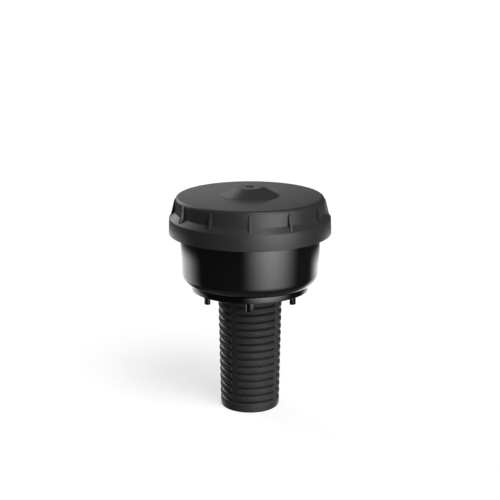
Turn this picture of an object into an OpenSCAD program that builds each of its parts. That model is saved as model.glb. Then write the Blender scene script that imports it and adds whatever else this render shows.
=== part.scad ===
// Pop-up sprinkler nozzle head: ribbed umbrella cap, threaded cup and inlet strainer.
// Millimetres. Origin at the centre of the strainer's underside, +Z up, front towards -Y.

/* [Deflector cap] */
// Diameter over the cap's plain band
cap_d = 30.1; // [29:0.1:31]
// Height of the plain band
band_h = 2.91; // [2.4:0.01:3.2]
// Height of the cap from the band's lower edge to the flat top
cap_h = 6.84; // [6.6:0.02:7.1]
// Diameter of the upper, ribbed wall
crown_d = 27.5; // [27:0.1:28]
// Number of grip ribs round the crown
rib_count = 12; // [6:1:18]
// Width of one grip rib
rib_w = 0.45; // [0.3:0.05:0.7]
// Height of the centre cone above the flat top
cone_h = 1.62; // [1:0.02:1.8]
// Diameter of the cone at its foot
cone_foot_d = 10.7; // [10:0.1:12]
// Diameter of the cone's flat tip
cone_tip_d = 4.8; // [4:0.1:5.4]
// Diameter of the hole for the adjusting key
key_hole_d = 1.5; // [1.5:0.05:1.8]

/* [Cup] */
// Diameter of the glossy cup at the start of its lower rounding
cup_d = 25.8; // [25.4:0.1:26]
// Radius of the rounding round the cup's underside
cup_round = 2.2; // [1.8:0.1:2.4]
// Wall thickness of the cup
cup_wall = 1.1; // [1:0.05:1.2]

/* [Threaded base] */
// Diameter of the flange under the cup
flange_d = 22.28; // [21.6:0.02:22.4]
// Thickness of the flange
flange_t = 1.09; // [0.8:0.01:1.2]
// Number of spanner pegs under the flange
peg_count = 6; // [3:1:8]
// Distance of the pegs from the centre
peg_r = 9.25; // [9.1:0.05:9.6]
// Width of a peg along the flange
peg_w = 1.48; // [1.2:0.02:1.6]
// Thickness of a peg across the flange
peg_t = 0.84; // [0.7:0.02:1]
// Length of a peg
peg_l = 2.01; // [1.6:0.01:2.4]
// Major diameter of the nozzle thread (5/8 inch)
thread_d = 15.875; // [15.875]
// Pitch of the nozzle thread (28 turns per inch)
thread_pitch = 0.907; // [0.907]

/* [Strainer] */
// Diameter over the lowest band of the strainer
strainer_d = 11.2; // [10.9:0.02:11.3]
// Growth of the strainer's radius for each millimetre of height
strainer_taper = 0.0196; // [0.01:0.0001:0.02]
// Number of bands round the strainer above its end cap
band_count = 14; // [10:1:14]
// Distance from band to band
band_pitch = 1.444; // [1.4:0.001:1.444]
// How far a band stands out of the mesh
band_depth = 0.4; // [0.15:0.01:0.45]

/* [Throttle] */
// Travel of the throttle plug from open to closed
throttle_travel = 1.35; // [0.9:0.05:1.35]
// Diameter of the adjusting screw's shank
screw_d = 2.5; // [2.4:0.02:2.54]
// Diameter of the adjusting screw's head
head_d = 3.8; // [3.4:0.1:3.9]

/* [Hidden] */
$fn = 96;
eps = 0.02;

// Running clearance, on the radius, between a moving piece and its guide
run = 0.05;

// Main heights, counted up from the strainer's underside
flange_z = 23.21;
floor_z = flange_z + flange_t;
cup_round_z = floor_z + cup_round;
band_z = 33.85;
top_z = band_z + cap_h;
tip_z = top_z + cone_h;
cup_rim_z = 35.8;

// Cap: walls, the sloping ledge, the roof and the socket for the distributor's post
cap_r = cap_d / 2;
crown_r = crown_d / 2;
crown_edge = 0.7;
crown_draft = 0.05;
band_draft = 0.1;
ledge_top_z = band_z + 3.95;
skirt_r = cap_r - 1;
skirt_top_z = band_z + band_h - 0.3;
slant_r = 12.7;
slant_z = ledge_top_z + 0.1;
roof_r = 12.6;
roof_z = 39.2;
boss_r = 4.7;
bore_z = 40.6;

// Cap: grip ribs outside and spacer ribs under the roof
rib_root = 0.6;
rib_top_z = top_z - 0.55;
rib_shoulder_r = crown_r + 0.25;
rib_shoulder_z = top_z - 0.9;
rib_foot_r = crown_r + 0.92;
rib_foot_z = ledge_top_z - 0.78;
rib_foot_t = 0.2;
spacer_count = 6;
spacer_w = 0.8;
spacer_in_r = 9.2;
spacer_out_r = 12.9;
spacer_foot_r = 12.2;
spacer_gap = 0.02;

// Distributor: deck, pressure chamber with its ports, and post
deck_z = 34.8;
dome_z = 37.2;
dome_top_z = 38.2;
post_r = 3.2;
post_z = 40.55;
well_r = 2;
well_z = dome_top_z + 0.2;
chamber_r = 7.4;
chamber_out_r = chamber_r + 1.2;
port_count = 12;
port_r = 0.4;
port_z = 36.7;

// Cup
cup_r = cup_d / 2;
cup_draft = 0.0125;
cup_rim_r = cup_r + cup_draft * (cup_rim_z - cup_round_z);
cup_floor_t = 1.2;
deck_r = cup_rim_r - cup_wall - run;

// Threaded base: thread, socket, seals, throat and seat
sleeve_r = 9.4;
thread_r = thread_d / 2;
thread_depth = 0.48;
thread_core_r = thread_r - thread_depth;
groove_count = 6;
first_groove_z = flange_z + 1.35;
entry_r = thread_r + 0.35;
entry_z = flange_z + 0.83;
socket_z = 31;
seal_t = 1;
seal_in_r = 6.15;
relief_z = socket_z - seal_t - 0.3;
spigot_bore_r = 5.2;
spigot_bore_z = 32.6;
seat_r = 3.2;
throat_r = 7.3;
throat_z = 33.4;
shoulder_z = 32.4;
oring_groove_r = throat_r - 0.6;
oring_groove_z = shoulder_z + 0.1;
oring_groove_h = 0.7;
oring_r = 0.34;

// Orifice plate, flow washer and its cage
plate_z = 35.7;
plate_t = 0.5;
orifice_count = 6;
orifice_r = 0.6;
orifice_x = 5.75;
pin_r = 0.5;
pin_x = 3.1;
pin_z = throat_z + 0.15;
washer_in_r = 4.7;
washer_out_r = 6.85;
washer_z = plate_z - 0.62;
washer_t = 0.52;
cage_in_r = 4.45;
cage_wall_r = 6.95;
cage_z = plate_z - 1.2;
cage_t = 0.5;
cage_hole_count = 12;
cage_hole_r = 0.7;
cage_hole_x = 5.7;

// Adjusting screw, its O-ring and its clip
screw_r = screw_d / 2;
head_t = 1.3;
head_z = dome_top_z + 0.9;
hex_d = 1.5;
hex_floor = 0.3;
screw_low_z = 32;
screw_pitch = 0.45;
screw_groove_count = 7;
screw_groove_z = screw_low_z + 0.4;
screw_groove_h = 0.2;
screw_groove_t = 0.15;
screw_ring_r = 0.32;
clip_groove_r = 0.95;
clip_groove_z = dome_z - 0.45;
clip_groove_h = 0.35;
clip_r = 2.1;
clip_t = 0.3;
clip_gap = 1.4;

// Throttle plug: open at rest, and 0.1 mm above the seat when closed
plug_r = 4;
plug_t = 0.65;
plug_z = throat_z + 0.1 + throttle_travel;
nose_r = 2;
nose_root_r = 2.45;
nose_h = 1.2;

// Strainer: collar and spigot, bands, struts, mesh and end cap
first_band_z = 1.18;
collar_z = first_band_z + (band_count + 0.62) * band_pitch;
collar_r = 5.88;
collar_in_r = 4.2;
collar_top_z = socket_z - 0.05;
spigot_top_z = throat_z - 0.9;
frame_wall = 0.7;
hoop_crown_h = 0.2;
hoop_side_h = 0.36;
hoop_side_t = 0.08;
hoop_foot_h = 0.5;
strut_count = 4;
strut_turn = -122;
strut_arc = 12;
strut_inset = 0.06;
mesh_t = 0.25;
foot_r = strainer_d / 2;
foot_top_z = 1.58;
foot_lip_z = 1.6;
foot_plate_t = 0.9;
foot_wall = 1.5;

// Outer radius of a strainer band at a height
function band_r(z) = strainer_d / 2 + strainer_taper * (z - first_band_z);

// A full ring of rectangular section
module ring(r_in, r_out, z_low, z_high) {
    rotate_extrude()
        translate([r_in, z_low]) square([r_out - r_in, z_high - z_low]);
}

// A ring of round section, such as an O-ring
module round_ring(r, z, section_r) {
    rotate_extrude()
        translate([r, z]) circle(r = section_r, $fn = 32);
}

// Copies of the children at even steps round the axis
module around(count, turn = 0) {
    for (i = [0 : count - 1]) rotate([0, 0, turn + i * 360 / count]) children();
}

// Half section of the cap: crown, sloping ledge and plain band outside, skirt and roof inside
module cap_section() {
    difference() {
        union() {
            polygon([[0, roof_z - 1], [0, top_z], [crown_r - crown_edge, top_z],
                [crown_r - crown_edge, top_z - crown_edge], [crown_r, top_z - crown_edge],
                [crown_r + crown_draft, ledge_top_z], [cap_r - band_draft, band_z + band_h],
                [cap_r, band_z], [0, band_z]]);
            translate([crown_r - crown_edge, top_z - crown_edge]) circle(r = crown_edge, $fn = 48);
            polygon([[0, top_z - 1], [0, tip_z], [cone_tip_d / 2, tip_z], [cone_foot_d / 2, top_z],
                [cone_foot_d / 2, top_z - 1]]);
        }
        polygon([[boss_r, band_z - 1], [boss_r, roof_z], [roof_r, roof_z], [slant_r, slant_z],
            [skirt_r, skirt_top_z], [skirt_r, band_z - 1]]);
        polygon([[-1, band_z - 1], [-1, dome_top_z], [boss_r + 1, dome_top_z],
            [boss_r + 1, band_z - 1]]);
        translate([-1, 0]) square([1 + post_r, bore_z]);
        translate([-1, 0]) square([1 + key_hole_d / 2, tip_z + 1]);
    }
}

module deflector_cap() {
    color([0.09, 0.09, 0.095]) {
        union() {
            rotate_extrude($fn = 180) cap_section();
            around(rib_count) grip_rib();
            around(spacer_count, 30) spacer_rib();
        }
    }
}

// One grip rib: a thin fin whose outer edge leans out from the crown's edge to the ledge
module grip_rib() {
    rotate([90, 0, 0])
        translate([0, 0, -rib_w / 2])
            linear_extrude(rib_w)
                polygon([[crown_r - rib_root, rib_shoulder_z], [crown_r + crown_draft, rib_top_z],
                    [rib_shoulder_r, rib_shoulder_z], [rib_foot_r, rib_foot_z],
                    [rib_foot_r, rib_foot_z - rib_foot_t],
                    [crown_r - rib_root, rib_foot_z - rib_foot_t]]);
}

// One rib under the roof that rests on the distributor and keeps the water's gap open
module spacer_rib() {
    low_z = cup_rim_z + spacer_gap;
    high_z = roof_z + 0.2;
    rotate([90, 0, 0])
        translate([0, 0, -spacer_w / 2])
            linear_extrude(spacer_w)
                polygon([[spacer_in_r, high_z], [spacer_out_r, high_z],
                    [spacer_out_r, ledge_top_z], [spacer_foot_r, low_z],
                    [spacer_in_r, low_z]]);
}

// Distributor: deck over the cup, pressure chamber with radial ports, and the screw's post
module distributor() {
    color([0.12, 0.12, 0.13])
        difference() {
            rotate_extrude()
                polygon([[screw_r + run, dome_z], [screw_r + run, well_z], [well_r, well_z],
                    [well_r, post_z], [post_r, post_z], [post_r, dome_top_z],
                    [chamber_out_r, dome_top_z], [chamber_out_r, cup_rim_z],
                    [deck_r, cup_rim_z], [deck_r, deck_z], [chamber_out_r, deck_z],
                    [chamber_out_r, shoulder_z], [chamber_r, shoulder_z],
                    [chamber_r, dome_z]]);
            around(port_count, 15)
                translate([chamber_r - 1, 0, port_z])
                    rotate([0, 90, 0]) cylinder(r = port_r, h = 3.2, $fn = 32);
        }
}

// Glossy cup: drafted wall, round lower edge and a floor with the hole for the threaded base
module cup_body() {
    color([0.04, 0.04, 0.045])
        rotate_extrude($fn = 180)
            difference() {
                union() {
                    polygon([[sleeve_r, floor_z], [cup_r - cup_round, floor_z],
                        [cup_r - cup_round, cup_round_z], [cup_r, cup_round_z],
                        [cup_rim_r, cup_rim_z], [sleeve_r, cup_rim_z]]);
                    translate([cup_r - cup_round, cup_round_z]) circle(r = cup_round, $fn = 64);
                }
                square([sleeve_r, cup_rim_z + 1]);
                polygon([[0, floor_z + cup_floor_t], [cup_r - cup_round, floor_z + cup_floor_t],
                    [cup_r - cup_wall, cup_round_z + 0.2], [cup_rim_r - cup_wall, cup_rim_z + 1],
                    [0, cup_rim_z + 1]]);
            }
}

// Threaded base: flange with spanner pegs, threaded socket, and the throat with the throttle seat
module threaded_base() {
    color([0.07, 0.07, 0.075])
        union() {
            rotate_extrude()
                difference() {
                    polygon([[entry_r, flange_z], [flange_d / 2, flange_z],
                        [flange_d / 2, floor_z], [sleeve_r, floor_z], [sleeve_r, shoulder_z],
                        [throat_r, shoulder_z], [throat_r, throat_z], [seat_r, throat_z],
                        [seat_r, spigot_bore_z], [spigot_bore_r, spigot_bore_z],
                        [spigot_bore_r, socket_z], [thread_r, socket_z], [thread_r, relief_z],
                        [thread_core_r, relief_z], [thread_core_r, entry_z]]);
                    for (i = [0 : groove_count - 1])
                        thread_groove(first_groove_z + i * thread_pitch);
                    translate([oring_groove_r, oring_groove_z]) square([1, oring_groove_h]);
                }
            around(peg_count) spanner_peg();
        }
}

// Section of one thread groove, a 60 degree vee cut to the major diameter
module thread_groove(z) {
    mouth = 0.34;
    root = 0.06;
    polygon([[thread_core_r - eps, z - mouth], [thread_r, z - root], [thread_r, z + root],
        [thread_core_r - eps, z + mouth]]);
}

// One peg of oblong section, straight down from the flange
module spanner_peg() {
    translate([0, -peg_r, flange_z - peg_l])
        linear_extrude(peg_l + eps)
            union() {
                square([peg_w - peg_t, peg_t], center = true);
                for (side = [-1, 1])
                    translate([side * (peg_w - peg_t) / 2, 0]) circle(d = peg_t, $fn = 32);
            }
}

// Flat washer that seals the nozzle on the riser's end
module riser_seal() {
    color([0.05, 0.05, 0.05]) ring(seal_in_r, thread_r - 0.1, socket_z - seal_t, socket_z);
}

// O-ring between the throat and the distributor's chamber
module body_oring() {
    middle_z = oring_groove_z + oring_groove_h / 2;
    color([0.05, 0.05, 0.05]) round_ring(oring_groove_r + 0.35, middle_z, oring_r);
}

// Orifice plate: meters the flow and carries the two pins that guide the throttle plug
module orifice_plate() {
    color([0.85, 0.85, 0.80])
        difference() {
            union() {
                translate([0, 0, plate_z]) cylinder(r = chamber_r, h = plate_t);
                for (side = [-1, 1])
                    translate([side * pin_x, 0, pin_z])
                        cylinder(r = pin_r, h = plate_z - throat_z, $fn = 32);
            }
            translate([0, 0, plate_z - 1]) cylinder(r = screw_r + run, h = 3, $fn = 48);
            around(orifice_count, 30)
                translate([orifice_x, 0, plate_z - 1]) cylinder(r = orifice_r, h = 3, $fn = 32);
        }
}

// Elastomer washer that closes the orifices as the pressure rises
module flow_washer() {
    color([0.10, 0.10, 0.10]) ring(washer_in_r, washer_out_r, washer_z, washer_z + washer_t);
}

// Cage that holds the flow washer loosely under the orifice plate
module washer_retainer() {
    color([0.80, 0.80, 0.75])
        difference() {
            union() {
                ring(cage_in_r, chamber_r, cage_z, cage_z + cage_t);
                ring(cage_wall_r, chamber_r, cage_z + cage_t - eps, plate_z);
            }
            around(cage_hole_count)
                translate([cage_hole_x, 0, cage_z - 1])
                    cylinder(r = cage_hole_r, h = 2, $fn = 32);
        }
}

// Adjusting screw: hex socket head, shank with a clip groove, and a threaded lower end
module adjusting_screw() {
    color([0.62, 0.63, 0.65])
        difference() {
            union() {
                translate([0, 0, head_z]) cylinder(d = head_d, h = head_t, $fn = 64);
                translate([0, 0, screw_low_z])
                    cylinder(r = screw_r, h = head_z - screw_low_z + eps, $fn = 64);
            }
            translate([0, 0, head_z + hex_floor]) cylinder(d = hex_d, h = 2, $fn = 6);
            ring(clip_groove_r, screw_r + 1, clip_groove_z, clip_groove_z + clip_groove_h);
            for (i = [0 : screw_groove_count - 1])
                translate([0, 0, screw_groove_z + i * screw_pitch])
                    ring(screw_r - screw_groove_t, screw_r + 1, 0, screw_groove_h);
        }
}

// O-ring under the screw's head
module screw_oring() {
    color([0.05, 0.05, 0.05]) round_ring(screw_r + 0.36, well_z + 0.34, screw_ring_r);
}

// Retaining clip in the screw's groove, open on one side
module screw_clip() {
    color([0.70, 0.71, 0.72])
        difference() {
            ring(clip_groove_r, clip_r, clip_groove_z, clip_groove_z + clip_t);
            translate([0, -clip_gap / 2, clip_groove_z - 1]) cube([3, clip_gap, 2]);
        }
}

// Throttle plug: a disc with a tapered nose that the screw draws down to the seat
module throttle_plug() {
    color([0.78, 0.76, 0.68])
        difference() {
            union() {
                translate([0, 0, plug_z]) cylinder(r = plug_r, h = plug_t);
                translate([0, 0, plug_z - nose_h])
                    cylinder(r1 = nose_r, r2 = nose_root_r, h = nose_h + eps);
            }
            translate([0, 0, plug_z - 2]) cylinder(r = screw_r + run, h = 4, $fn = 64);
            for (side = [-1, 1])
                translate([side * pin_x, 0, plug_z - 2])
                    cylinder(r = pin_r + run, h = 4, $fn = 32);
        }
}

// Section of one strainer band, a low rounded hoop
module band_section(z) {
    r = band_r(z);
    inner = r - frame_wall;
    valley = r - band_depth;
    side = r - hoop_side_t;
    polygon([[inner, z - hoop_foot_h], [valley, z - hoop_foot_h], [side, z - hoop_side_h],
        [r, z - hoop_crown_h], [r, z + hoop_crown_h], [side, z + hoop_side_h],
        [valley, z + hoop_foot_h], [inner, z + hoop_foot_h]]);
}

// Strainer frame: spigot and collar above, then struts and bands round the mesh
module strainer_frame() {
    color([0.08, 0.08, 0.085])
        union() {
            rotate_extrude()
                polygon([[collar_in_r, collar_z], [collar_r, collar_z],
                    [collar_r, collar_top_z], [spigot_bore_r - run, collar_top_z],
                    [spigot_bore_r - run, spigot_top_z], [collar_in_r, spigot_top_z]]);
            rotate_extrude()
                for (i = [1 : band_count]) band_section(first_band_z + i * band_pitch);
            around(strut_count, strut_turn) strainer_strut();
        }
}

// One upright strut, a slice of a drafted tube
module strainer_strut() {
    low_r = band_r(foot_lip_z);
    high_r = band_r(collar_z);
    high_z = collar_z + 0.1;
    rotate([0, 0, -strut_arc / 2])
        rotate_extrude(angle = strut_arc)
            polygon([[low_r - frame_wall, foot_lip_z], [low_r - strut_inset, foot_lip_z],
                [high_r - strut_inset, high_z], [high_r - frame_wall, high_z]]);
}

// Fine mesh sleeve, as a plain thin tube
module strainer_mesh() {
    low_r = band_r(foot_lip_z) - frame_wall - eps;
    high_r = band_r(collar_z) - frame_wall - eps;
    color([0.11, 0.11, 0.115])
        rotate_extrude()
            polygon([[low_r - mesh_t, foot_lip_z], [low_r, foot_lip_z], [high_r, collar_z],
                [high_r - mesh_t, collar_z]]);
}

// End cap that closes the strainer and stands on the ground
module strainer_end_cap() {
    color([0.08, 0.08, 0.085])
        rotate_extrude()
            polygon([[0, 0], [foot_r - 0.2, 0], [foot_r - 0.06, 0.12], [foot_r - 0.04, 0.5],
                [foot_r, 1], [foot_r, 1.36], [foot_r - 0.15, foot_top_z],
                [foot_r - foot_wall, foot_top_z], [foot_r - foot_wall, foot_plate_t],
                [0, foot_plate_t]]);
}

deflector_cap();
distributor();
cup_body();
threaded_base();
riser_seal();
body_oring();
orifice_plate();
flow_washer();
washer_retainer();
adjusting_screw();
screw_oring();
screw_clip();
throttle_plug();
strainer_frame();
strainer_mesh();
strainer_end_cap();
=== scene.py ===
# %% [markdown]
# # The nozzle head of a pop-up sprinkler
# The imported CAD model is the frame: it fixes every size, place and joint. This lesson gives the
# visible pieces their rounded edges, their fine screen and their finishes, and lights them as a
# small studio would. Nothing here moves or resizes a CAD part.

import math

import bmesh
import bpy
from mathutils import Matrix, Vector


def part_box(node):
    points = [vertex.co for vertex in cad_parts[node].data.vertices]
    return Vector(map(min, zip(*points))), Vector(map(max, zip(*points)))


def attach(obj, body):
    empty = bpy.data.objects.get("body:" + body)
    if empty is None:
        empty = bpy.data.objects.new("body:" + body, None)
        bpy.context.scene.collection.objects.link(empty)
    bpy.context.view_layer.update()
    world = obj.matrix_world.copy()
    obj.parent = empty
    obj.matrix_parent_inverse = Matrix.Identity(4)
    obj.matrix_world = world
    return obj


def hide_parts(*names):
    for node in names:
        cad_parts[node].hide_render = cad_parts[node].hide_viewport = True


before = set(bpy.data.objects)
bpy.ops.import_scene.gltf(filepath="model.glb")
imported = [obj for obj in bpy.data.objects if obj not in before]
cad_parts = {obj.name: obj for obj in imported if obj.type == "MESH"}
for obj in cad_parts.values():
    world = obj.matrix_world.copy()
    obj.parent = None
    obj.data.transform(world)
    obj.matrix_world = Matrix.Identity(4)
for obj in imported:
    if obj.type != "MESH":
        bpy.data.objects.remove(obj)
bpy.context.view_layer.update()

# %% [markdown]
# ## Working units
# Blender's bevel and inset lose accuracy on features of a few hundredths of a millimetre when the
# unit is the metre. Each piece is therefore built in millimetres and scaled to metres once, as its
# last step.

# %% Read the driving sizes from the frame
MM = 0.001


def node_box_mm(node):
    """Lowest and highest corner of a CAD node, in millimetres."""
    low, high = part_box(node)
    return low / MM, high / MM


cap_low, cap_high = node_box_mm("deflector_cap")
cup_low, cup_high = node_box_mm("cup_body")
base_low, base_high = node_box_mm("threaded_base")
foot_low, foot_high = node_box_mm("strainer_end_cap")
spigot_top_z = node_box_mm("strainer_frame")[1].z
collar_z = node_box_mm("strainer_mesh")[1].z
print("cap radius", round(cap_high.x, 2), "cup radius", round(cup_high.x, 2), "mm")

# %% [markdown]
# ## Camera
# The camera stands in front of the nozzle and looks down on it by about fifteen degrees, through a
# short telephoto lens, so the round rims show as shallow ellipses. It is made first, because the
# framing decides how fine the details have to be.

# %% Make the camera
CAMERA_LENS_MM = 85
CAMERA_DISTANCE = 0.21274
CAMERA_HEIGHT = 0.08649
CAMERA_PITCH = math.radians(14.80)

camera_data = bpy.data.cameras.new("studio_camera")
camera_data.lens = CAMERA_LENS_MM
camera_data.sensor_width = 36
camera_data.clip_start = 0.01
camera_data.clip_end = 10
camera = bpy.data.objects.new("studio_camera", camera_data)
camera.location = (0, -CAMERA_DISTANCE, CAMERA_HEIGHT)
camera.rotation_euler = (math.pi / 2 - CAMERA_PITCH, 0, 0)
bpy.context.scene.collection.objects.link(camera)
bpy.context.scene.camera = camera
bpy.context.scene.view_settings.view_transform = "Standard"
print("camera pitched down", round(math.degrees(CAMERA_PITCH), 1), "degrees")

# %% [markdown]
# ## Helpers for turned pieces
# Almost every part of a nozzle is round. A lathe would cut it from its half section, and Blender's
# spin does the same: it sweeps a closed outline round the axis. Real mouldings have no razor-sharp
# edges, so each corner of the outline carries the size of its rounding, and a bevel on that ring
# of edges makes it. Rounding after the spin keeps the outline down to the corners it needs.

# %% Turn and round a half section
RING_TOLERANCE = 0.004


def ring_edges(bm, radius, height):
    """The edges that run round the axis at this radius and height."""

    def on_ring(vert):
        return (abs(math.hypot(vert.co.x, vert.co.y) - radius) < RING_TOLERANCE
                and abs(vert.co.z - height) < RING_TOLERANCE)

    return [edge for edge in bm.edges if all(on_ring(v) for v in edge.verts)]


def turned(corners, steps=160):
    """A solid of revolution from (radius, height, rounding) corners, in mm."""
    bm = bmesh.new()
    verts = [bm.verts.new((radius, 0, height)) for radius, height, _ in corners]
    edges = [bm.edges.new(pair) for pair in zip(verts, verts[1:] + verts[:1])]
    bmesh.ops.spin(bm, geom=verts + edges, axis=(0, 0, 1), cent=(0, 0, 0),
                   angle=math.tau, steps=steps, use_merge=True)
    bmesh.ops.remove_doubles(bm, verts=bm.verts, dist=0.001)
    for radius, height, rounding in corners:
        if rounding > 0:
            segments = 12 if rounding > 1 else 5
            bmesh.ops.bevel(bm, geom=ring_edges(bm, radius, height), offset=rounding,
                            segments=segments, profile=0.5, affect="EDGES",
                            clamp_overlap=True, material=-1)
    bmesh.ops.recalc_face_normals(bm, faces=bm.faces)
    return bm


# %% Finish a piece
SHARP_ANGLE = math.radians(32)


def make_piece(name, bm, body, material, replaced=()):
    """Scales a mesh to metres and makes it a piece that rides on a body."""
    bmesh.ops.scale(bm, vec=(MM, MM, MM), verts=bm.verts)
    mesh = bpy.data.meshes.new(name)
    bm.to_mesh(mesh)
    bm.free()
    mesh.shade_smooth()
    mesh.set_sharp_from_angle(angle=SHARP_ANGLE)
    mesh.materials.append(material)
    piece = bpy.data.objects.new(name, mesh)
    bpy.context.scene.collection.objects.link(piece)
    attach(piece, body)
    if replaced:
        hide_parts(*replaced)
    print(name, "has", len(mesh.polygons), "faces")
    return piece


def slab(outline, width):
    """A flat plate standing on edge: an outline of (radius, height) extruded across Y."""
    bm = bmesh.new()
    face = bm.faces.new([bm.verts.new((x, -width / 2, z)) for x, z in outline])
    grown = bmesh.ops.extrude_face_region(bm, geom=[face])
    moved = [v for v in grown["geom"] if isinstance(v, bmesh.types.BMVert)]
    bmesh.ops.translate(bm, verts=moved, vec=(0, width, 0))
    bmesh.ops.recalc_face_normals(bm, faces=bm.faces)
    return bm


def repeated(bm, count, turn=0):
    """Copies of everything at even steps round the axis, the first turned by turn degrees."""
    bmesh.ops.rotate(bm, verts=bm.verts, cent=(0, 0, 0),
                     matrix=Matrix.Rotation(math.radians(turn), 3, "Z"))
    everything = bm.verts[:] + bm.edges[:] + bm.faces[:]
    bmesh.ops.spin(bm, geom=everything, axis=(0, 0, 1), cent=(0, 0, 0), use_duplicate=True,
                   angle=math.tau * (count - 1) / count, steps=count - 1)
    return bm


# %% [markdown]
# ## Finishes
# The nozzle is black throughout, so its pieces are told apart by how they shine. The cap has a
# fine spark-eroded texture, the cup is polished, and the strainer is satin. One node group makes
# the moulded skin, with the size and height of its grain as inputs, so that each plastic is the
# same recipe with other amounts.

# %% Helpers for node trees
def math_node(tree, operation, first, second=None):
    """The output of one math node, whose inputs are sockets or numbers."""
    node = tree.nodes.new("ShaderNodeMath")
    node.operation = operation
    for index, value in enumerate((first, second)):
        if isinstance(value, (int, float)):
            node.inputs[index].default_value = value
        elif value is not None:
            tree.links.new(value, node.inputs[index])
    return node.outputs[0]


def add_input(group, name, kind, default):
    """One named input on a node group."""
    socket = group.interface.new_socket(name=name, in_out="INPUT", socket_type=kind)
    socket.default_value = default


# %% The moulded skin as a shared node group
def build_moulded_skin():
    """Colour drift, roughness drift and fine grain of a moulded surface."""
    group = bpy.data.node_groups.new("moulded_skin", "ShaderNodeTree")
    add_input(group, "Color", "NodeSocketColor", (0.02, 0.02, 0.02, 1))
    add_input(group, "Drift", "NodeSocketFloat", 0.1)
    add_input(group, "Roughness", "NodeSocketFloat", 0.4)
    add_input(group, "Grain Scale", "NodeSocketFloat", 9000)
    add_input(group, "Grain Height", "NodeSocketFloat", 0.3)
    for name, kind in (("Color", "NodeSocketColor"), ("Roughness", "NodeSocketFloat"),
                       ("Normal", "NodeSocketVector")):
        group.interface.new_socket(name=name, in_out="OUTPUT", socket_type=kind)
    nodes, links = group.nodes, group.links
    given = nodes.new("NodeGroupInput")
    result = nodes.new("NodeGroupOutput")
    where = nodes.new("ShaderNodeTexCoord")

    flow = nodes.new("ShaderNodeTexNoise")
    flow.inputs["Scale"].default_value = 260
    flow.inputs["Detail"].default_value = 3
    links.new(where.outputs["Object"], flow.inputs["Vector"])

    grain = nodes.new("ShaderNodeTexNoise")
    grain.inputs["Detail"].default_value = 4
    grain.inputs["Roughness"].default_value = 0.6
    links.new(where.outputs["Object"], grain.inputs["Vector"])
    links.new(given.outputs["Grain Scale"], grain.inputs["Scale"])

    centred = math_node(group, "SUBTRACT", flow.outputs["Fac"], 0.5)
    shift = math_node(group, "MULTIPLY", centred, given.outputs["Drift"])
    gain = math_node(group, "ADD", shift, 1)
    tint = nodes.new("ShaderNodeVectorMath")
    tint.operation = "SCALE"
    links.new(given.outputs["Color"], tint.inputs[0])
    links.new(gain, tint.inputs["Scale"])
    links.new(tint.outputs[0], result.inputs["Color"])
    rough = math_node(group, "MULTIPLY", given.outputs["Roughness"], gain)
    links.new(rough, result.inputs["Roughness"])

    bump = nodes.new("ShaderNodeBump")
    bump.inputs["Distance"].default_value = 0.00002
    links.new(given.outputs["Grain Height"], bump.inputs["Strength"])
    links.new(grain.outputs["Fac"], bump.inputs["Height"])
    links.new(bump.outputs["Normal"], result.inputs["Normal"])
    return group


moulded_skin = build_moulded_skin()
print("moulded_skin has", len(moulded_skin.nodes), "nodes")


# %% Make a plastic from the moulded skin
def moulded_plastic(name, grey, roughness, grain_scale, grain_height, drift=0.15, specular=0.5,
                    tint=(1, 1, 1)):
    """A moulded plastic or rubber: base grey, shine and grain."""
    material = bpy.data.materials.new(name)
    material.use_nodes = True
    nodes, links = material.node_tree.nodes, material.node_tree.links
    shader = nodes["Principled BSDF"]
    skin = nodes.new("ShaderNodeGroup")
    skin.node_tree = moulded_skin
    skin.inputs["Color"].default_value = (grey * tint[0], grey * tint[1], grey * tint[2], 1)
    skin.inputs["Drift"].default_value = drift
    skin.inputs["Roughness"].default_value = roughness
    skin.inputs["Grain Scale"].default_value = grain_scale
    skin.inputs["Grain Height"].default_value = grain_height
    links.new(skin.outputs["Color"], shader.inputs["Base Color"])
    links.new(skin.outputs["Roughness"], shader.inputs["Roughness"])
    links.new(skin.outputs["Normal"], shader.inputs["Normal"])
    shader.inputs["Specular IOR Level"].default_value = specular
    return material


cap_plastic = moulded_plastic("textured_black_plastic", 0.024, 0.29, 9000, 0.2, specular=0.25)
cup_plastic = moulded_plastic("polished_black_plastic", 0.0045, 0.09, 700, 0.05, drift=0.3)
base_plastic = moulded_plastic("flange_black_plastic", 0.002, 0.08, 6000, 0.1)
strainer_plastic = moulded_plastic("satin_black_plastic", 0.025, 0.42, 9000, 0.2, specular=0.1)
lip_plastic = moulded_plastic("lip_black_plastic", 0.018, 0.24, 9000, 0.1, specular=0.5)
screen_plastic = moulded_plastic("screen_black_plastic", 0.029, 0.48, 9000, 0.15, specular=0.2)
inner_plastic = moulded_plastic("inner_dark_plastic", 0.02, 0.3, 6000, 0.1)
sleeve_plastic = moulded_plastic("fine_mesh_plastic", 0.006, 0.55, 12000, 0.8)
seal_rubber = moulded_plastic("seal_rubber", 0.012, 0.62, 7000, 0.3, specular=0.35)
flow_rubber = moulded_plastic("flow_rubber", 0.03, 0.58, 5000, 0.3, specular=0.35)
acetal = moulded_plastic("white_acetal", 0.7, 0.32, 5000, 0.1, drift=0.04, tint=(1, 0.99, 0.94))
print("plastics and rubbers made")

# %% [markdown]
# ## Turned steel
# The adjusting screw and its clip are stainless steel. A lathe leaves fine rings round the axis,
# which stretch each highlight across them. Noise squeezed along the axis makes those rings.

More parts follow.
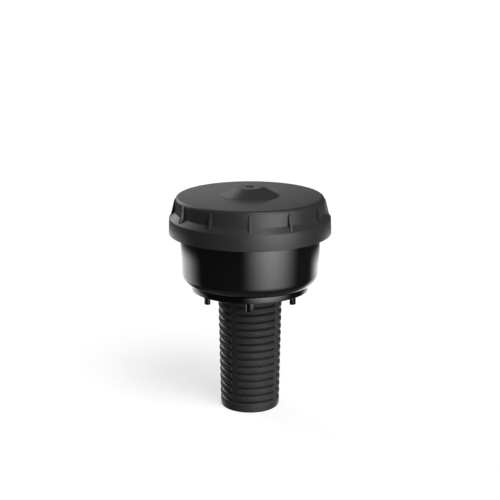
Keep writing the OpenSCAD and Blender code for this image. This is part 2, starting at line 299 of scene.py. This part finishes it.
# %% Make the turned steel
turned_steel = bpy.data.materials.new("turned_steel")
turned_steel.use_nodes = True
steel_nodes = turned_steel.node_tree.nodes
steel_links = turned_steel.node_tree.links
steel_shader = steel_nodes["Principled BSDF"]
steel_where = steel_nodes.new("ShaderNodeTexCoord")
steel_squeeze = steel_nodes.new("ShaderNodeMapping")
steel_squeeze.inputs["Scale"].default_value = (400, 400, 26000)
steel_rings = steel_nodes.new("ShaderNodeTexNoise")
steel_rings.inputs["Scale"].default_value = 1
steel_rings.inputs["Detail"].default_value = 3
steel_range = steel_nodes.new("ShaderNodeMapRange")
steel_range.inputs["To Min"].default_value = 0.22
steel_range.inputs["To Max"].default_value = 0.42
steel_bump = steel_nodes.new("ShaderNodeBump")
steel_bump.inputs["Strength"].default_value = 0.3
steel_bump.inputs["Distance"].default_value = 0.00001
steel_links.new(steel_where.outputs["Object"], steel_squeeze.inputs["Vector"])
steel_links.new(steel_squeeze.outputs["Vector"], steel_rings.inputs["Vector"])
steel_links.new(steel_rings.outputs["Fac"], steel_range.inputs["Value"])
steel_links.new(steel_range.outputs["Result"], steel_shader.inputs["Roughness"])
steel_links.new(steel_rings.outputs["Fac"], steel_bump.inputs["Height"])
steel_links.new(steel_bump.outputs["Normal"], steel_shader.inputs["Normal"])
steel_shader.inputs["Metallic"].default_value = 1
steel_shader.inputs["Base Color"].default_value = (0.58, 0.58, 0.59, 1)
print("turned_steel made")

# %% [markdown]
# ## The deflector cap
# Water leaves the nozzle through the narrow ring between the cap's skirt and the cup, and falls as
# an umbrella. The cap is one moulding: a flat top with a low cone round the key hole, a crown, a
# sloping ledge and a plain band. It could be cut from stacked cylinders, but one turned section
# keeps the wall's real thickness and gives each edge its own rounding.

# %% Turn the cap
CONE_HEIGHT = 1.62
CONE_TOP_R = 2.4
CONE_FOOT_R = 5.35
KEY_HOLE_R = 0.75
BAND_WALL = 1
BOSS_R = 4.7
BOSS_BORE_R = 3.2
cap_r = cap_high.x
tip_z = cap_high.z
top_z = tip_z - CONE_HEIGHT
band_z = cap_low.z
crown_r = cap_r - 1.3
ledge_top_z = band_z + 3.95
ledge_foot_z = band_z + 2.91
roof_z = top_z - 1.49
bore_top_z = tip_z - 1.71
cap_corners = [
    (KEY_HOLE_R, bore_top_z, 0), (KEY_HOLE_R, tip_z, 0.06), (CONE_TOP_R, tip_z, 0.22),
    (CONE_FOOT_R, top_z, 0.30), (crown_r, top_z, 0.70), (crown_r + 0.05, ledge_top_z, 0.12),
    (cap_r - 0.1, ledge_foot_z, 0.1), (cap_r, band_z, 0.06), (cap_r - BAND_WALL, band_z, 0.06),
    (cap_r - BAND_WALL, band_z + 2.61, 0.3), (crown_r - 1.05, ledge_top_z + 0.1, 0.3),
    (crown_r - 1.15, roof_z, 0.4), (BOSS_R, roof_z, 0.3), (BOSS_R, roof_z - 1, 0),
    (BOSS_BORE_R, roof_z - 1, 0), (BOSS_BORE_R, bore_top_z, 0),
]
make_piece("cap_shell", turned(cap_corners, steps=192), "nozzle_body", cap_plastic,
           ["deflector_cap"])

# %% [markdown]
# ## Grip ribs
# Twelve thin fins on the crown give the fingers a hold when the nozzle is screwed on. Each leans
# out from the crown's edge to the ledge. A fin is a flat outline given its width by an extrusion,
# with its outer edges rounded, and a duplicating spin sets the other eleven. Under the roof, six
# wider ribs rest on the distributor and hold the water's gap open.

# %% Make the grip ribs
RIB_COUNT = 12
RIB_WIDTH = 0.45
rib_root_r = crown_r - 0.5
rib_foot_r = crown_r + 0.92
rib_foot_z = ledge_top_z - 1
rib = slab([(rib_root_r, top_z - 0.9), (crown_r + 0.04, top_z - 0.55),
            (crown_r + 0.25, top_z - 0.92), (rib_foot_r, rib_foot_z + 0.2),
            (rib_foot_r, rib_foot_z), (rib_root_r, rib_foot_z)], RIB_WIDTH)
rib_outer = [e for e in rib.edges if min(v.co.x for v in e.verts) > crown_r]
bmesh.ops.bevel(rib, geom=rib_outer, offset=0.04, segments=2, profile=0.5, affect="EDGES",
                clamp_overlap=True, material=-1)
make_piece("cap_grip_ribs", repeated(rib, RIB_COUNT), "nozzle_body", cap_plastic)

# %% Make the spacer ribs under the roof
SPACER_COUNT = 6
SPACER_WIDTH = 0.8
SPACER_INNER_R = 9.2
SPACER_OUTER_R = 12.75
deck_top_z = cup_high.z + 0.03
spacer = slab([(SPACER_INNER_R, roof_z + 0.2), (SPACER_OUTER_R, roof_z + 0.2),
               (SPACER_OUTER_R, ledge_top_z), (SPACER_OUTER_R - 0.55, deck_top_z),
               (SPACER_INNER_R, deck_top_z)], SPACER_WIDTH)
make_piece("cap_spacer_ribs", repeated(spacer, SPACER_COUNT, turn=30), "nozzle_body",
           cap_plastic)

# %% [markdown]
# ## The polished cup
# The cup closes the nozzle below the cap. Its wall leans out by about a degree, as it must to
# leave its mould, and its lower edge is a full round of 2.2 mm that carries the brightest
# reflections. It is turned as a thin shell, so its rim is real where it shows under the cap.

# %% Turn the cup
CUP_FOOT_R = 12.9
CUP_HOLE_R = 9.4
CUP_WALL = 1.1
CUP_ROUND = 2.2
cup_floor_z = cup_low.z + 1.2
cup_corners = [
    (CUP_HOLE_R, cup_low.z, 0), (CUP_FOOT_R, cup_low.z, CUP_ROUND),
    (cup_high.x, cup_high.z, 0.25), (cup_high.x - CUP_WALL, cup_high.z, 0.2),
    (CUP_FOOT_R - CUP_WALL, cup_floor_z, CUP_ROUND - CUP_WALL), (CUP_HOLE_R, cup_floor_z, 0),
]
make_piece("cup_shell", turned(cup_corners, steps=224), "nozzle_body", cup_plastic,
           ["cup_body"])

# %% [markdown]
# ## The threaded base
# The flange under the cup and the socket for the riser are one moulding. Its thread is a helix, so
# a ring for each turn wouldn't show its lead. A spin that also climbs, with dvec, sweeps one vee
# into the whole thread.

# %% Turn the base
THREAD_R = 7.9375
THREAD_DEPTH = 0.48
THREAD_PITCH = 0.907
NECK_R = 7.3
THROAT_R = 3.2
SPIGOT_HOLE_R = 5.2
PEG_LENGTH = 2.01
flange_z = base_low.z + PEG_LENGTH
flange_r = base_high.x
throat_z = base_high.z
socket_top_z = throat_z - 2.4
base_corners = [
    (THREAD_R + 0.35, flange_z, 0.1), (flange_r, flange_z, 0.08), (flange_r, cup_low.z, 0.08),
    (CUP_HOLE_R, cup_low.z, 0), (CUP_HOLE_R, throat_z - 1, 0), (NECK_R, throat_z - 1, 0),
    (NECK_R, throat_z, 0.1), (THROAT_R, throat_z, 0.1), (THROAT_R, throat_z - 0.8, 0),
    (SPIGOT_HOLE_R, throat_z - 0.8, 0), (SPIGOT_HOLE_R, socket_top_z, 0.1),
    (THREAD_R, socket_top_z, 0), (THREAD_R, flange_z + 0.4, 0),
]
make_piece("base_flange_shell", turned(base_corners), "nozzle_body", base_plastic,
           ["threaded_base"])

# %% Sweep the thread
THREAD_TURNS = 6
THREAD_STEPS = 64
thread = bmesh.new()
thread_z = flange_z + 1.1
root_r = THREAD_R + 0.04
crest_r = THREAD_R - THREAD_DEPTH
vee = [(root_r, -0.42), (crest_r, -0.07), (crest_r, 0.07), (root_r, 0.42)]
thread_face = thread.faces.new([thread.verts.new((r, 0, thread_z + z)) for r, z in vee])
bmesh.ops.spin(thread, geom=[*thread.verts, *thread.edges, thread_face], axis=(0, 0, 1),
               cent=(0, 0, 0), dvec=(0, 0, THREAD_PITCH / THREAD_STEPS),
               angle=math.tau * THREAD_TURNS, steps=THREAD_TURNS * THREAD_STEPS)
bmesh.ops.recalc_face_normals(thread, faces=thread.faces)
make_piece("riser_thread", thread, "nozzle_body", base_plastic)

# %% [markdown]
# ## Spanner pegs
# Six pegs under the flange let a spanner turn the nozzle. Each has a curved outer face, so it
# mirrors a narrow strip of the light, and one rounded corner where the spanner slides on. A cube
# subdivided across its width gives the face enough edges to be curved.

# %% Make the spanner pegs
PEG_COUNT = 6
PEG_SIZE = (1.48, 0.84, PEG_LENGTH + 0.05)
PEG_R = 9.25
PEG_FACE_R = 1.15
PEG_LEAD = 0.28
peg = bmesh.new()
bmesh.ops.create_cube(peg, size=1)
bmesh.ops.scale(peg, vec=PEG_SIZE, verts=peg.verts)
across = [e for e in peg.edges if abs(e.verts[0].co.x - e.verts[1].co.x) > 1]
bmesh.ops.subdivide_edges(peg, edges=across, cuts=9, use_grid_fill=True)
for vert in peg.verts:
    if vert.co.y < 0:
        vert.co.y += PEG_FACE_R - math.sqrt(PEG_FACE_R ** 2 - vert.co.x ** 2)

# %% Round the peg's leading corner and its end, and set all six
lead_corner = [e for e in peg.edges if abs(e.verts[0].co.z - e.verts[1].co.z) > 1
               and max(v.co.x for v in e.verts) < -0.7 and max(v.co.y for v in e.verts) < 0]
bmesh.ops.bevel(peg, geom=lead_corner, offset=PEG_LEAD, segments=5, profile=0.5, affect="EDGES",
                clamp_overlap=True, material=-1)
peg_end = [e for e in peg.edges if max(v.co.z for v in e.verts) < 0 and len(e.link_faces) == 2
           and abs(e.calc_face_angle(0)) > 1]
bmesh.ops.bevel(peg, geom=peg_end, offset=0.08, segments=2, profile=0.5, affect="EDGES",
                clamp_overlap=True, material=-1)
bmesh.ops.translate(peg, verts=peg.verts, vec=(0, -PEG_R, base_low.z + PEG_SIZE[2] / 2))
make_piece("spanner_pegs", repeated(peg, PEG_COUNT), "nozzle_body", base_plastic)

# %% [markdown]
# ## The strainer's skeleton
# The strainer drops into the riser and keeps grit out of the nozzle. Its stiff parts are a push-in
# spigot, a collar and four plain struts. A strut is a slice of the tube, made by spinning its
# section through a few degrees only.

# %% Turn the collar
STRUT_COUNT = 4
STRUT_ARC = 12
STRUT_TURN = -122
BAND_PITCH = 1.444
FIRST_BAND_Z = 1.18
TAPER = 0.0196
SPIGOT_R = 5.15
SPIGOT_BORE_R = 4.2
COLLAR_R = 5.88
strainer_r = foot_high.x


def band_r(z):
    """Radius over the strainer's bands at a height."""
    return strainer_r + TAPER * (z - FIRST_BAND_Z)


collar_low_z = collar_z - 0.3
shoulder_z = spigot_top_z - 1.55
skeleton = turned([
    (SPIGOT_BORE_R, collar_low_z, 0), (COLLAR_R, collar_low_z, 0.12), (COLLAR_R, shoulder_z, 0.1),
    (SPIGOT_R, shoulder_z, 0), (SPIGOT_R, spigot_top_z, 0.2), (SPIGOT_BORE_R, spigot_top_z, 0.1),
], steps=128)
make_piece("strainer_collar", skeleton, "strainer", strainer_plastic,
           ["strainer_frame"])

# %% Add the struts
STRUT_FACE = 0.12
STRUT_BACK = 0.7
strut = bmesh.new()
strut_z = foot_high.z - 0.3
strut_section = [(band_r(strut_z) - STRUT_BACK, strut_z), (band_r(strut_z) - STRUT_FACE, strut_z),
                 (band_r(collar_z) - STRUT_FACE, collar_z),
                 (band_r(collar_z) - STRUT_BACK, collar_z)]
strut_face = strut.faces.new([strut.verts.new((r, 0, z)) for r, z in strut_section])
bmesh.ops.spin(strut, geom=[*strut.verts, *strut.edges, strut_face], axis=(0, 0, 1),
               cent=(0, 0, 0), angle=math.radians(STRUT_ARC), steps=8)
bmesh.ops.recalc_face_normals(strut, faces=strut.faces)
strut_piece = repeated(strut, STRUT_COUNT, turn=STRUT_TURN - STRUT_ARC / 2)
make_piece("strainer_struts", strut_piece, "strainer", strainer_plastic)

# %% [markdown]
# ## The moulded screen
# Between the struts the wall is a screen of tiny openings, and it swells outwards in low bands. An
# image of a mesh would look flat at the outline, so the openings are real: a grid has every face
# inset, the inner faces are deleted, the sheet is bent round the axis and swollen into bands, and
# a Solidify modifier gives it its thickness. The cube of the distance from a band's middle keeps
# the band full and the groove narrow. An open sheet has no inside, so its faces may all come out
# pointing inwards, and are then reversed.

# %% Weave one screen panel for each gap between struts
ROWS_PER_BAND = 6
BAND_COUNT = 14
COLUMNS = 28
BAR_HALF = 0.048
SWELL = 0.5
SCREEN_WALL = 0.2
PANEL_OVERLAP = 1.5
panel_arc = math.radians(360 / STRUT_COUNT - STRUT_ARC + PANEL_OVERLAP)
panel_low = foot_high.z - 0.16
panel_high = collar_z


def screen_r(z):
    """Radius of the screen at a height: full over a band, with a groove between two bands."""
    from_band = (z - FIRST_BAND_Z) / BAND_PITCH
    across = from_band - round(from_band)
    return band_r(z) - SWELL * abs(2 * across) ** 3


def screen_panel(middle):
    """One panel of the screen, centred on an angle in radians."""
    bm = bmesh.new()
    rows = round((panel_high - panel_low) / BAND_PITCH * ROWS_PER_BAND)
    width = panel_arc * strainer_r
    height = panel_high - panel_low
    bmesh.ops.create_grid(bm, x_segments=COLUMNS, y_segments=rows, size=0.5)
    bmesh.ops.scale(bm, vec=(width, height, 1), verts=bm.verts)
    cells = bm.faces[:]
    bmesh.ops.inset_individual(bm, faces=cells, thickness=BAR_HALF, use_even_offset=True)
    bmesh.ops.delete(bm, geom=cells, context="FACES")
    for vert in bm.verts:
        angle = middle + vert.co.x / width * panel_arc
        z = panel_low + vert.co.y + height / 2
        r = screen_r(z)
        vert.co = (r * math.cos(angle), r * math.sin(angle), z)
    bmesh.ops.recalc_face_normals(bm, faces=bm.faces)
    level = Vector((1, 1, 0))
    if sum(face.normal.dot(face.calc_center_median() * level) for face in bm.faces) < 0:
        bmesh.ops.reverse_faces(bm, faces=bm.faces)
    return bm


for number in range(STRUT_COUNT):
    middle = math.radians(STRUT_TURN + 360 / STRUT_COUNT * (number + 0.5))
    panel = make_piece(f"strainer_screen_{number + 1}", screen_panel(middle), "strainer",
                       screen_plastic)
    wall = panel.modifiers.new("wall", "SOLIDIFY")
    wall.thickness = SCREEN_WALL * MM
    wall.offset = -1

# %% [markdown]
# ## Lips on the bands
# Every band has a solid lip on its upper edge, where the screen ends in its mould. It is smoother
# than the screen, so it shows as a fine bright line. Its section is drawn from the bands' radius
# inwards and from their upper edge down, and is spun over one panel's arc only, which leaves the
# struts plain.

# %% Raise a lip on the upper edge of every band
LIP_SECTION = [(-0.62, 0), (-0.4, -0.01), (-0.2, -0.17), (-0.21, -0.21), (-0.62, -0.21)]
lips = bmesh.new()
for number in range(BAND_COUNT + 1):
    lip_z = FIRST_BAND_Z + (number + 0.5) * BAND_PITCH - 0.01
    corners = [lips.verts.new((band_r(lip_z) + r, 0, lip_z + z)) for r, z in LIP_SECTION]
    lip_face = lips.faces.new(corners)
    bmesh.ops.spin(lips, geom=[*lip_face.verts, *lip_face.edges, lip_face], axis=(0, 0, 1),
                   cent=(0, 0, 0), angle=panel_arc, steps=40)
bmesh.ops.recalc_face_normals(lips, faces=lips.faces)
lip_turn = STRUT_TURN + 180 / STRUT_COUNT - math.degrees(panel_arc) / 2
make_piece("strainer_lips", repeated(lips, STRUT_COUNT, turn=lip_turn), "strainer",
           lip_plastic)

# %% [markdown]
# ## The end cap
# The strainer's lower end is closed by a shallow cap, and the nozzle stands on it. Its rim follows
# the line of the bands above, then tucks in to a small rounding at the ground.

# %% Turn the end cap
foot_z = foot_low.z
foot_bore_r = strainer_r - 1.5
foot_floor_z = foot_z + 0.9
foot_corners = [
    (0, foot_z, 0), (strainer_r - 0.16, foot_z, 0), (strainer_r - 0.05, foot_z + 0.14, 0.08),
    (strainer_r - 0.03, foot_z + 0.6, 0), (strainer_r, foot_z + 1.1, 0.1),
    (strainer_r - 0.05, foot_z + 1.42, 0.08), (strainer_r - 0.3, foot_high.z, 0.05),
    (foot_bore_r, foot_high.z, 0), (foot_bore_r, foot_floor_z, 0), (0, foot_floor_z, 0),
]
make_piece("strainer_foot", turned(foot_corners, steps=128), "strainer",
           strainer_plastic, ["strainer_end_cap"])

# %% [markdown]
# ## Pieces that stay as the CAD made them
# The working parts inside have the right shape already. They only take a finish, which shows where
# a joint opens the nozzle.

# %% Give the inner CAD parts their finishes
inner_finishes = {
    "distributor": inner_plastic, "riser_seal": seal_rubber, "body_oring": seal_rubber,
    "orifice_plate": acetal, "flow_washer": flow_rubber, "washer_retainer": acetal,
    "adjusting_screw": turned_steel, "screw_oring": seal_rubber, "screw_clip": turned_steel,
    "throttle_plug": acetal, "strainer_mesh": sleeve_plastic,
}
for node, material in inner_finishes.items():
    cad_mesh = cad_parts[node].data
    cad_mesh.materials.clear()
    cad_mesh.materials.append(material)
print("finished", len(inner_finishes), "inner parts")

# %% [markdown]
# ## Floor and light
# Black gloss shows nothing but its surroundings, so the light is drawn as a picture round the
# object. One tall soft panel stands at the front right and fades towards the middle. Two white
# sweeps, low at the far left and far right, light the cup's outlines. A backdrop behind, brighter
# on its left, lies in the flat top. The tall panel is dimmed at middle height, because the flat top
# mirrors it when seen from behind. The floor stays out of the reflections, as flags would keep it,
# and a weak glow from below stands for the light that it would send back.

# %% Lay the floor
FLOOR_HALF = 2.0
FLOOR_GLOW = 0.64
FLOOR_GREY = 0.42
floor_mesh = bpy.data.meshes.new("studio_floor")
floor_bm = bmesh.new()
bmesh.ops.create_grid(floor_bm, x_segments=1, y_segments=1, size=FLOOR_HALF)
floor_bm.to_mesh(floor_mesh)
floor_bm.free()
floor = bpy.data.objects.new("studio_floor", floor_mesh)
bpy.context.scene.collection.objects.link(floor)
floor.visible_glossy = False
floor.visible_diffuse = False

floor_paint = bpy.data.materials.new("pale_floor")
floor_paint.use_nodes = True
floor_nodes = floor_paint.node_tree.nodes
floor_links = floor_paint.node_tree.links
floor_nodes.remove(floor_nodes["Principled BSDF"])
floor_glow = floor_nodes.new("ShaderNodeEmission")
floor_glow.inputs["Strength"].default_value = FLOOR_GLOW
floor_matt = floor_nodes.new("ShaderNodeBsdfDiffuse")
floor_matt.inputs["Color"].default_value = (FLOOR_GREY, FLOOR_GREY, FLOOR_GREY, 1)
floor_sum = floor_nodes.new("ShaderNodeAddShader")
floor_links.new(floor_glow.outputs[0], floor_sum.inputs[0])
floor_links.new(floor_matt.outputs[0], floor_sum.inputs[1])
floor_links.new(floor_sum.outputs[0], floor_nodes["Material Output"].inputs["Surface"])
floor_mesh.materials.append(floor_paint)
print("floor laid")

# %% Draw the studio round the object
studio = bpy.data.worlds.new("studio")
bpy.context.scene.world = studio
studio.use_nodes = True
sky = studio.node_tree
sky_nodes, sky_links = sky.nodes, sky.links
sky_out = sky_nodes["World Output"]
sky_where = sky_nodes.new("ShaderNodeTexCoord")
sky_split = sky_nodes.new("ShaderNodeSeparateXYZ")
sky_links.new(sky_where.outputs["Generated"], sky_split.inputs[0])


def sky_step(value, start, end):
    """Rises smoothly from 0 to 1 as value goes from start to end, in degrees."""
    node = sky_nodes.new("ShaderNodeMapRange")
    node.interpolation_type = "SMOOTHSTEP"
    node.inputs["From Min"].default_value = math.radians(min(start, end))
    node.inputs["From Max"].default_value = math.radians(max(start, end))
    if start > end:
        node.inputs["To Min"].default_value = 1
        node.inputs["To Max"].default_value = 0
    sky_links.new(value, node.inputs["Value"])
    return node.outputs["Result"]


def sky_panel(strength, *edges):
    """A soft panel of light: its strength times each of its edges."""
    total = strength
    for edge in edges:
        total = math_node(sky, "MULTIPLY", edge, total)
    return total


# azimuth is 0 towards the camera and behind is 0 away from it, both positive to its right
azimuth = math_node(sky, "ARCTAN2", sky_split.outputs["X"],
                    math_node(sky, "MULTIPLY", sky_split.outputs["Y"], -1.0))
behind = math_node(sky, "ARCTAN2", sky_split.outputs["X"], sky_split.outputs["Y"])
elevation = math_node(sky, "ARCSINE", sky_split.outputs["Z"])

# %% Hang the panels
dimmed_middle = sky_panel(0.6, sky_step(elevation, 8, 18), sky_step(elevation, 56, 44))
soft_box = sky_panel(9.0, sky_step(azimuth, -16, 35), sky_step(azimuth, 88, 36),
                     sky_step(elevation, -52, 25), sky_step(elevation, 89, 55),
                     math_node(sky, "SUBTRACT", 1.0, dimmed_middle))
sweep_left = sky_panel(2.3, sky_step(azimuth, -86, -126), sky_step(elevation, -13, -15.5),
                       sky_step(elevation, -40, -20))
sweep_right = sky_panel(2.3, sky_step(azimuth, 113, 145), sky_step(elevation, -13.5, -16.5),
                        sky_step(elevation, -50, -28))
back_left = sky_panel(2.25, sky_step(behind, -86, -50), sky_step(behind, -12, -38),
                      sky_step(elevation, -4, 10), sky_step(elevation, 60, 38))
back_glow = sky_panel(0.44, sky_step(behind, -60, -30), sky_step(behind, 13, -4),
                      sky_step(elevation, -6, 4), sky_step(elevation, 66, 46))
floor_bounce = sky_panel(0.12, sky_step(elevation, -38, -58))
ambient = 0.05
light = math_node(sky, "ADD", soft_box, ambient)
for panel in (sweep_left, sweep_right, back_left, back_glow, floor_bounce):
    light = math_node(sky, "ADD", light, panel)

# %% Show white to the camera and the panels to everything else
sky_light = sky_nodes["Background"]
sky_links.new(light, sky_light.inputs["Strength"])
sky_white = sky_nodes.new("ShaderNodeBackground")
sky_white.inputs["Strength"].default_value = 1.0
sky_ray = sky_nodes.new("ShaderNodeLightPath")
sky_mix = sky_nodes.new("ShaderNodeMixShader")
sky_links.new(sky_ray.outputs["Is Camera Ray"], sky_mix.inputs[0])
sky_links.new(sky_light.outputs[0], sky_mix.inputs[1])
sky_links.new(sky_white.outputs[0], sky_mix.inputs[2])
sky_links.new(sky_mix.outputs[0], sky_out.inputs["Surface"])
sky_light.inputs["Color"].default_value = (1, 1, 1, 1)
sky_white.inputs["Color"].default_value = (1, 1, 1, 1)
print("studio drawn with", len(sky_nodes), "nodes")
